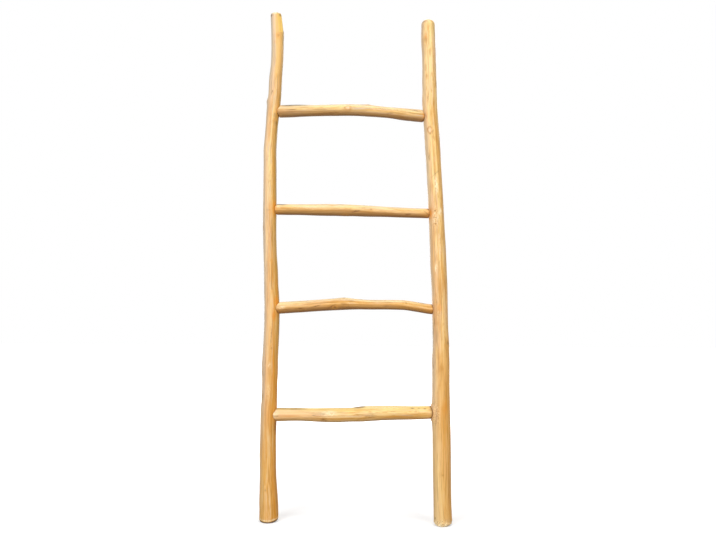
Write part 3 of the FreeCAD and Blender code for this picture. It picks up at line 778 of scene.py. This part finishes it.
def woodFinish(name, **changes):
    look = {**peeledWood, **changes}
    onStile = look["branch"] == "stile"
    material = bpy.data.materials.new(name)
    start = freshNodes(material)
    grain, knot, tone, mark = (start.node("ShaderNodeAttribute", {"attribute_name": kind}, output="Vector")
                               for kind in ("grain", "knot", "tone", "mark"))
    sideA, sideB, along = grain.parts()
    knotU, knotV, knotDark = knot.parts()
    stain, edge, endAndEdgeTone = tone.parts()  # on a stile, cuts, pale ends and the foot rim's painted highlight and shadow; on a rung, painted contact shade at the joints, a grey streak and pale noses
    pale, warm, dark = mark.parts()
    speck = mark.pick("Alpha")
    outwards = (sideA * sideA + sideB * sideB) ** 0.5
    patch, blush, streak, fibre, pore, warp, split, mottle, fleck, strand, dots = (
        grain.cloud((across, across, lengthwise), look["shift"] + offset, detail, rough)
        for across, lengthwise, offset, detail, rough in woodPatterns.values())

    knotFar = (knotU * knotU + knotV * knotV) ** 0.5 + fleck.sway(0.6) + mottle.sway(0.7)
    knotRing = (knotFar * 9 + warp * 5).wave()
    eye = knotFar.bell()
    healed = start.sums("MAXIMUM", -knotDark, 0)
    openKnot = start.sums("MAXIMUM", knotDark, 0)
    heart = knotFar.between(0.6, 0.15) * openKnot
    halo = ((knotFar - 0.66) * 4).bell() * healed
    rings = outwards * look["ringsPerMetre"] + warp * look["ringWarp"] + eye * look["ringBend"]
    late = (rings * (2 * math.pi)).wave() ** look["lateEdge"]
    splitLine = abs(split - 0.5).between(0.007, 0.001) * blush.between(0.5, 0.58)
    poreDip = pore.between(0.62, 0.8)

    # each layer is a tint and how much of it; between says where a pattern starts, is full, and how strong
    layers = [
        ("pink", blush.between(0.5, 0.7, 0, 0.6)),
        ("amber", streak.between(0.51, 0.63) * look["streaks"]),
        ("cream", streak.between(0.48, 0.36, 0, 0.8) * look["streaks"]),
        ("pink", mottle.between(0.54, 0.68, 0, 0.5)),
        ("amber", mottle.between(0.46, 0.34, 0, 0.55)),
        ("amber", late * patch.between(0.62, 0.4, 0.12, 0.42)),
        ("umber", strand.between(0.52, 0.64) * look["strands"]),
        ("ash", strand.between(0.47, 0.36) * look["strands"]),
    ]
    if look["lowWarmth"]:
        lowShare = along.between(*look["lowWarmth"], 0, look["lowAmount"])
        layers.append(("gold", lowShare * strand.between(0.36, 0.64, 0.6, 1.35)))
    layers += [
        ("brown", fibre.between(0.52, 0.78, 0, 0.24)),
        ("cream", fibre.between(0.46, 0.25, 0, 0.3)),
        ("brown", pore.between(0.66, 0.8, 0, 0.25)),
    ]
    fray = streak.sway(0.6) + strand.sway(0.5) + patch.sway(0.5)  # how far a cheek's edge wanders
    for facing, low, high, cheekTint, amount, *fade in look["cheeks"]:
        c, s = math.cos(math.radians(facing)), math.sin(math.radians(facing))
        share = ((sideA * c + sideB * s) / outwards + fray).between(low, high, 0, amount)
        layers.append((cheekTint, share * along.between(*fade) if fade else share))
    if onStile:
        lowPart = along.between(1.1, 0.5)
        layers += [
            ("umber", strand.between(0.53, 0.64, 0, 0.2) * lowPart),
            ("cream", strand.between(0.46, 0.35, 0, 0.22) * lowPart),
            ("fresh", edge * streak.between(0.6, 0.4, 0.55, 1.15)),
            # pale ends, and on the left foot a painted highlight band over the rim
            ("cut", endAndEdgeTone * mottle.between(0.4, 0.6, 0.4, 1)),
        ]
    else:
        layers.append(("cut", (-endAndEdgeTone).between(0, 0.8) * mottle.between(0.35, 0.6, 0.4, 0.9)))
    layers += [
        ("deepOrange", stain * (0.35 + 0.5 * streak)),
        ("deepOrange", warm * (0.6 + 0.6 * mottle)),
        ("cut", pale * fleck.between(0.44, 0.54, 0.25, 1)),
        ("brown", dark * fleck.between(0.6, 0.4, 0.4, 1.1)),
        ("brown", speck * dots.between(0.4, 0.3)),
        ("cut", speck * dots.between(0.56, 0.66, 0, 0.6)),
    ]
    if onStile:
        # painted shadow along the left foot's bottom edge
        layers.append(("grey", (-endAndEdgeTone).between(0.1, 0.8, 0, 0.85)))
    else:
        # a dark grey streak along the top edge
        layers.append(("grey", endAndEdgeTone * strand.between(0.36, 0.56, 0.3, 1)))
        layers.append(("brown", edge * 0.8))  # painted contact shade: the thin dark line where it meets its stile
    layers += [
        ("brown", splitLine * 0.55),
        ("amber", eye * openKnot * (0.5 + 0.5 * knotRing)),
        ("pink", knotFar.between(0.7, 0.2, 0, 0.7) * healed),
        ("cut", knotFar.between(0.6, 0.3) * fleck.between(0.54, 0.62, 0, 0.8) * healed),
        ("rust", halo * (0.2 + 0.7 * mottle)),
        ("brown", heart * 0.75 + halo * fleck.between(0.55, 0.4, 0, 0.4)),
    ]
    colour = patch.between(0.32, 0.68).blend(look["honey"], look["cream"])
    for tintName, amount in layers:
        colour = colour.paint(look[tintName], amount)

    lifted = fibre * 0.5 + streak * 0.35 + late * 0.12
    sunk = poreDip * 0.4 + splitLine * 1.2 + heart * 0.8 + halo * 0.3 + dark * 0.4
    bump = start.node("ShaderNodeBump", (), {
        "Strength": look["bump"], "Distance": look["bumpDepth"], "Height": lifted - sunk}, "Normal")
    roughness = look["roughness"] + fibre.sway(0.22) + poreDip * 0.1 + edge * 0.08 - stain * 0.06
    shader = start.node("ShaderNodeBsdfPrincipled", (), {
        "Base Color": colour, "Roughness": roughness, "Normal": bump, "IOR": look["ior"],
        "Specular IOR Level": look["specular"]})
    start.node("ShaderNodeOutputMaterial", (), {"Surface": shader})
    return material


pegWood = {
    "deep": tint(178, 126, 72), "light": tint(207, 160, 104), "ring": tint(120, 78, 42), "rings": 0.4,
    "fleck": (1500, 60, 1500), "fleckRamp": (0.35, 0.65), "shiftPerMetre": 10, "ringTurn": 7000, "ringWarp": 4,
    "roughness": 0.6, "fleckRough": 0.2, "ringRelief": 0.3, "bump": 0.3, "bumpDepth": 0.0003,
}


def pegFinish(node):  # sawn end grain, centred on the peg
    low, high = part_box(node)
    middle = (low + high) / 2
    material = bpy.data.materials.new("pegWood_" + node)
    start = freshNodes(material)
    place = start.node("ShaderNodeTexCoord", output="Object")
    centred = place.stretched((1, 1, 1), tuple(-c for c in middle))
    across, _, up = centred.parts()
    out = (across * across + up * up) ** 0.5
    fleck = centred.cloud(pegWood["fleck"], middle.z * pegWood["shiftPerMetre"])
    rings = (out * pegWood["ringTurn"] + fleck * pegWood["ringWarp"]).wave()
    colour = fleck.between(*pegWood["fleckRamp"]).blend(pegWood["deep"], pegWood["light"])
    colour = colour.paint(pegWood["ring"], rings * pegWood["rings"])
    bump = start.node("ShaderNodeBump", (), {
        "Strength": pegWood["bump"], "Distance": pegWood["bumpDepth"],
        "Height": fleck + rings * pegWood["ringRelief"]}, "Normal")
    roughness = pegWood["roughness"] + fleck.sway(pegWood["fleckRough"])
    shader = start.node("ShaderNodeBsdfPrincipled", (), {
        "Base Color": colour, "Roughness": roughness, "Normal": bump})
    start.node("ShaderNodeOutputMaterial", (), {"Surface": shader})
    return material


# cheeks are turn, where the tint starts and is full, tint, amount and, for some, where it fades along in metres
branchFinishes = {
    "leftStile": {
        "branch": "stile", "shift": 5, "lowWarmth": (0.85, 0.38), "lowAmount": 0.68, "strands": 0.62,
        "streaks": 1,
        "cheeks": (
            (0, 0, 0.9, "amber", 0.45, 1.5, 1.1), (-4, 0.4, 0.95, "brass", 0.7, 1.6, 1.2),
            # the olive on the right edge is partly the wood's colour and partly painted shade
            (8, 0.76, 1.02, "olive", 0.7, 0.4, 0.7), (-6, 0.5, 1, "deepOrange", 0.4, 0.6, 0.4),
            (-160, 0, 0.8, "pink", 0.5, 0.1, 0.5), (-150, 0.2, 0.95, "honey", 0.4, 0.35, 0.12),
            (-158, 0.7, 1.02, "ash", 0.75, 0, 0.5), (-128, 0.5, 1, "ash", 0.4, 1.2, 1.33),
            # the honey at -60 is painted light on the tip's right facet, which the lamps leave in shade
            (-93, 0.8, 1, "pink", 0.5, 1.4, 1.45), (-60, 0.78, 1, "honey", 0.75, 1.28, 1.34),
        ),
    },
    "rightStile": {
        "branch": "stile", "shift": 23, "lowWarmth": (0.7, 0.3), "lowAmount": 0.35, "strands": 0.28,
        "streaks": 0.7,
        "cheeks": (
            (-150, 0.4, 1, "pink", 0.35), (182, 0.5, 1, "ash", 0.5, 0.1, 0.4),
            (-135, 0.1, 0.9, "cream", 0.45, 0.42, 0.12), (-10, 0.2, 1, "amber", 0.35, 1.3, 0.6),
            (-45, 0.2, 0.9, "gold", 0.5, 0.64, 0.46),
        ),
    },
    "bottomRung": {
        "branch": "rung", "shift": 41,
        "cheeks": (
            # the lemon at 90 is a painted highlight along the top; the amber and umber at -90 below are painted
            # shade underneath
            (90, 0.4, 1, "lemon", 0.5), (106, 0.8, 1, "olive", 0.75, -0.12, -0.18),
            (172, 0.7, 1, "honey", 0.7, -0.09, -0.19), (170, 0.4, 1, "pink", 0.5, 0, -0.22),
            (-90, -0.3, 0.8, "amber", 0.5), (-90, 0.5, 1.1, "umber", 0.4),
        ),
    },
    "lowerRung": {
        "branch": "rung", "shift": 62, "strands": 0.6, "streaks": 1,
        "cheeks": (
            # the cut at 90 is a painted highlight along the top; the amber and umber at -90 are painted shade
            # underneath
            (90, 0.4, 0.9, "cut", 0.35), (-90, -0.8, 0.2, "amber", 0.75), (-90, -0.4, 0.8, "umber", 0.85),
        ),
    },
    "upperRung": {
        "branch": "rung", "shift": 85,
        "cheeks": (
            # the cut at 90 is a painted highlight along the top; the amber and umber at -90 are painted shade
            # underneath
            (90, 0.3, 0.9, "cut", 0.35), (-90, -0.7, 0.4, "amber", 0.65), (-90, -0.3, 0.9, "umber", 0.85),
        ),
    },
    "topRung": {
        "branch": "rung", "shift": 104, "amber": tint(205, 152, 84), "strands": 0.85, "streaks": 1,
        "cheeks": (
            # the cut at 90 is a painted highlight along the top; the amber and umber at -90 are painted shade
            # underneath
            (90, 0.2, 0.9, "cut", 0.4), (-90, -0.6, 0.5, "amber", 0.6), (-90, -0.3, 0.9, "umber", 0.8),
        ),
    },
}

dressed = [(piece, branch, "stile_wood") for piece, branch in zip(stilePieces, stiles)]
dressed += [(piece, branch, "rung_wood") for piece, branch in zip(rungPieces, rungs)]
for piece, branch, slotName in dressed:
    piece.data.materials.append(woodFinish(branch["name"] + "Wood", **branchFinishes[branch["name"]]))
    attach(piece, "root")
    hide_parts(branch["node"])
for node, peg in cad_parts.items():
    if node.endswith("_peg"):
        peg.data.materials.clear()
        peg.data.materials.append(pegFinish(node))
print("finishes on")


# studio: white floor and backdrop, soft lamps, the camera

studio = {
    "floorSize": 12, "floorPale": 0.75, "floorNear": 0.38, "fade": (0.5, 2.2), "floorRoughness": 0.9,
    "floorBounce": 0.17, "skyFill": 0.12,
    "lamps": [  # name, place, aim, width, height, watts
        ("keyLamp", (-1.6, -3.2, 2.8), (0, 0, 0.7), 1.8, 1.8, 62),
        ("topLamp", (0, -0.7, 6), (0, 0, 0.75), 3, 2, 118),
        ("frontLamp", (0.3, -4.2, 0.9), (0.1, 0, 0.3), 1.6, 1.2, 55),
        ("lowLamp", (-2, -2.6, 0.6), (0, 0, 0.3), 1.2, 1, 15),
        ("sideLamp", (2.2, -2.8, 1.7), (0, 0, 0.9), 1.4, 1.8, 48),
        ("backLamp", (1.4, 3.4, 2.4), (0, 0, 0.8), 1.8, 1.8, 60),
        ("lowBackLamp", (-1.6, 3.2, 0.9), (0, 0, 0.5), 1.6, 1.4, 40),
    ],
}
viewpoint = {"place": (0.21374, -2.60687, 0.741), "turn": 4.5, "lens": 44.886, "sensor": 36}
white = plainGrey(1)


def seenByCamera(start):
    path = start.node("ShaderNodeLightPath", output="Is Camera Ray")
    seen = start.sums("MAXIMUM", path, path.pick("Is Glossy Ray"))
    return start.sums("MAXIMUM", seen, path.pick("Is Transmission Ray"))


bm = bmesh.new()
bmesh.ops.create_grid(bm, x_segments=1, y_segments=1, size=studio["floorSize"] / 2)
floor = newPiece("studioFloor", bm)
floorFinish = bpy.data.materials.new("studioFloorPaint")
start = freshNodes(floorFinish)
place = start.node("ShaderNodeTexCoord", output="Object")
away = place.node("ShaderNodeVectorMath", {"operation": "LENGTH"}, {0: place}, "Value")
glow = away.between(*studio["fade"]).blend(plainGrey(studio["floorNear"]), white)
shown = start.node("ShaderNodeBsdfPrincipled", (), {
    "Base Color": plainGrey(studio["floorPale"]), "Roughness": studio["floorRoughness"], "Specular IOR Level": 0,
    "Emission Color": glow, "Emission Strength": 1})
bounce = start.node("ShaderNodeBsdfDiffuse", (), {"Color": plainGrey(studio["floorBounce"])})
mixed = start.node("ShaderNodeMixShader", (), {0: seenByCamera(start), 1: bounce, 2: shown})
start.node("ShaderNodeOutputMaterial", (), {"Surface": mixed})
floor.data.materials.append(floorFinish)

world = bpy.data.worlds.new("studioSky")
start = freshNodes(world)
level = seenByCamera(start) * (1 - studio["skyFill"]) + studio["skyFill"]
sky = start.node("ShaderNodeBackground", (), {"Color": white, "Strength": level})
start.node("ShaderNodeOutputWorld", (), {"Surface": sky})
bpy.context.scene.world = world

for name, place, aim, width, height, watts in studio["lamps"]:
    lamp = bpy.data.lights.new(name, "AREA")
    lamp.shape, lamp.size, lamp.size_y, lamp.energy = "RECTANGLE", width, height, watts
    stand = bpy.data.objects.new(name, lamp)
    stand.location = place
    stand.rotation_euler = (Vector(aim) - Vector(place)).to_track_quat("-Z", "Y").to_euler()
    bpy.context.scene.collection.objects.link(stand)

camera = bpy.data.objects.new("camera", bpy.data.cameras.new("camera"))
camera.location = viewpoint["place"]
camera.rotation_euler = (math.radians(90), 0, math.radians(viewpoint["turn"]))
camera.data.sensor_width, camera.data.lens = viewpoint["sensor"], viewpoint["lens"]
bpy.context.scene.collection.objects.link(camera)
bpy.context.scene.camera = camera
bpy.context.scene.view_settings.view_transform = "Standard"
print("studio set")
